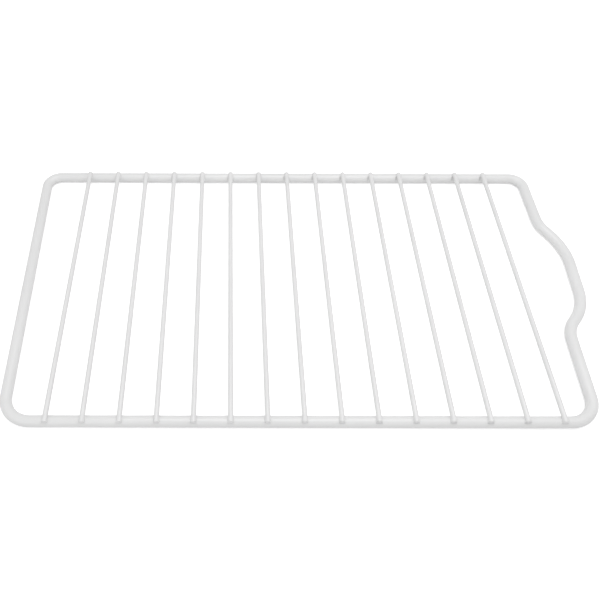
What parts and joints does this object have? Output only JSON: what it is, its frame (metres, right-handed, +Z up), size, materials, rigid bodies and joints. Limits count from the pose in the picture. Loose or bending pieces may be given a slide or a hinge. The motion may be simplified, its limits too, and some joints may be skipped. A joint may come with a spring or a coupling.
{
  "type": "refrigerator wire shelf",
  "caption": "White coated wire shelf for a refrigerator: a bent rod frame with rounded corners and an outward bulge in one short side, with straight cross wires welded on top.",
  "frame": {"origin": "middle of the shelf's box, on the plane that the frame rod rests on", "axes": "+X along the long rails towards the bulge, +Y from the front rail to the rear rail, +Z up, with the cross wires on top"},
  "size_m": [0.392, 0.2132, 0.0098],
  "materials": {
    "white_coat": "smooth satin white coat, baked on steel rod"
  },
  "bodies": {
    "root": {"frame_rod": "white_coat", "cross_wire_01": "white_coat", "cross_wire_02": "white_coat", "cross_wire_03": "white_coat", "cross_wire_04": "white_coat", "cross_wire_05": "white_coat", "cross_wire_06": "white_coat", "cross_wire_07": "white_coat", "cross_wire_08": "white_coat", "cross_wire_09": "white_coat", "cross_wire_10": "white_coat", "cross_wire_11": "white_coat", "cross_wire_12": "white_coat", "cross_wire_13": "white_coat", "cross_wire_14": "white_coat", "cross_wire_15": "white_coat"}
  },
  "joints": []
}
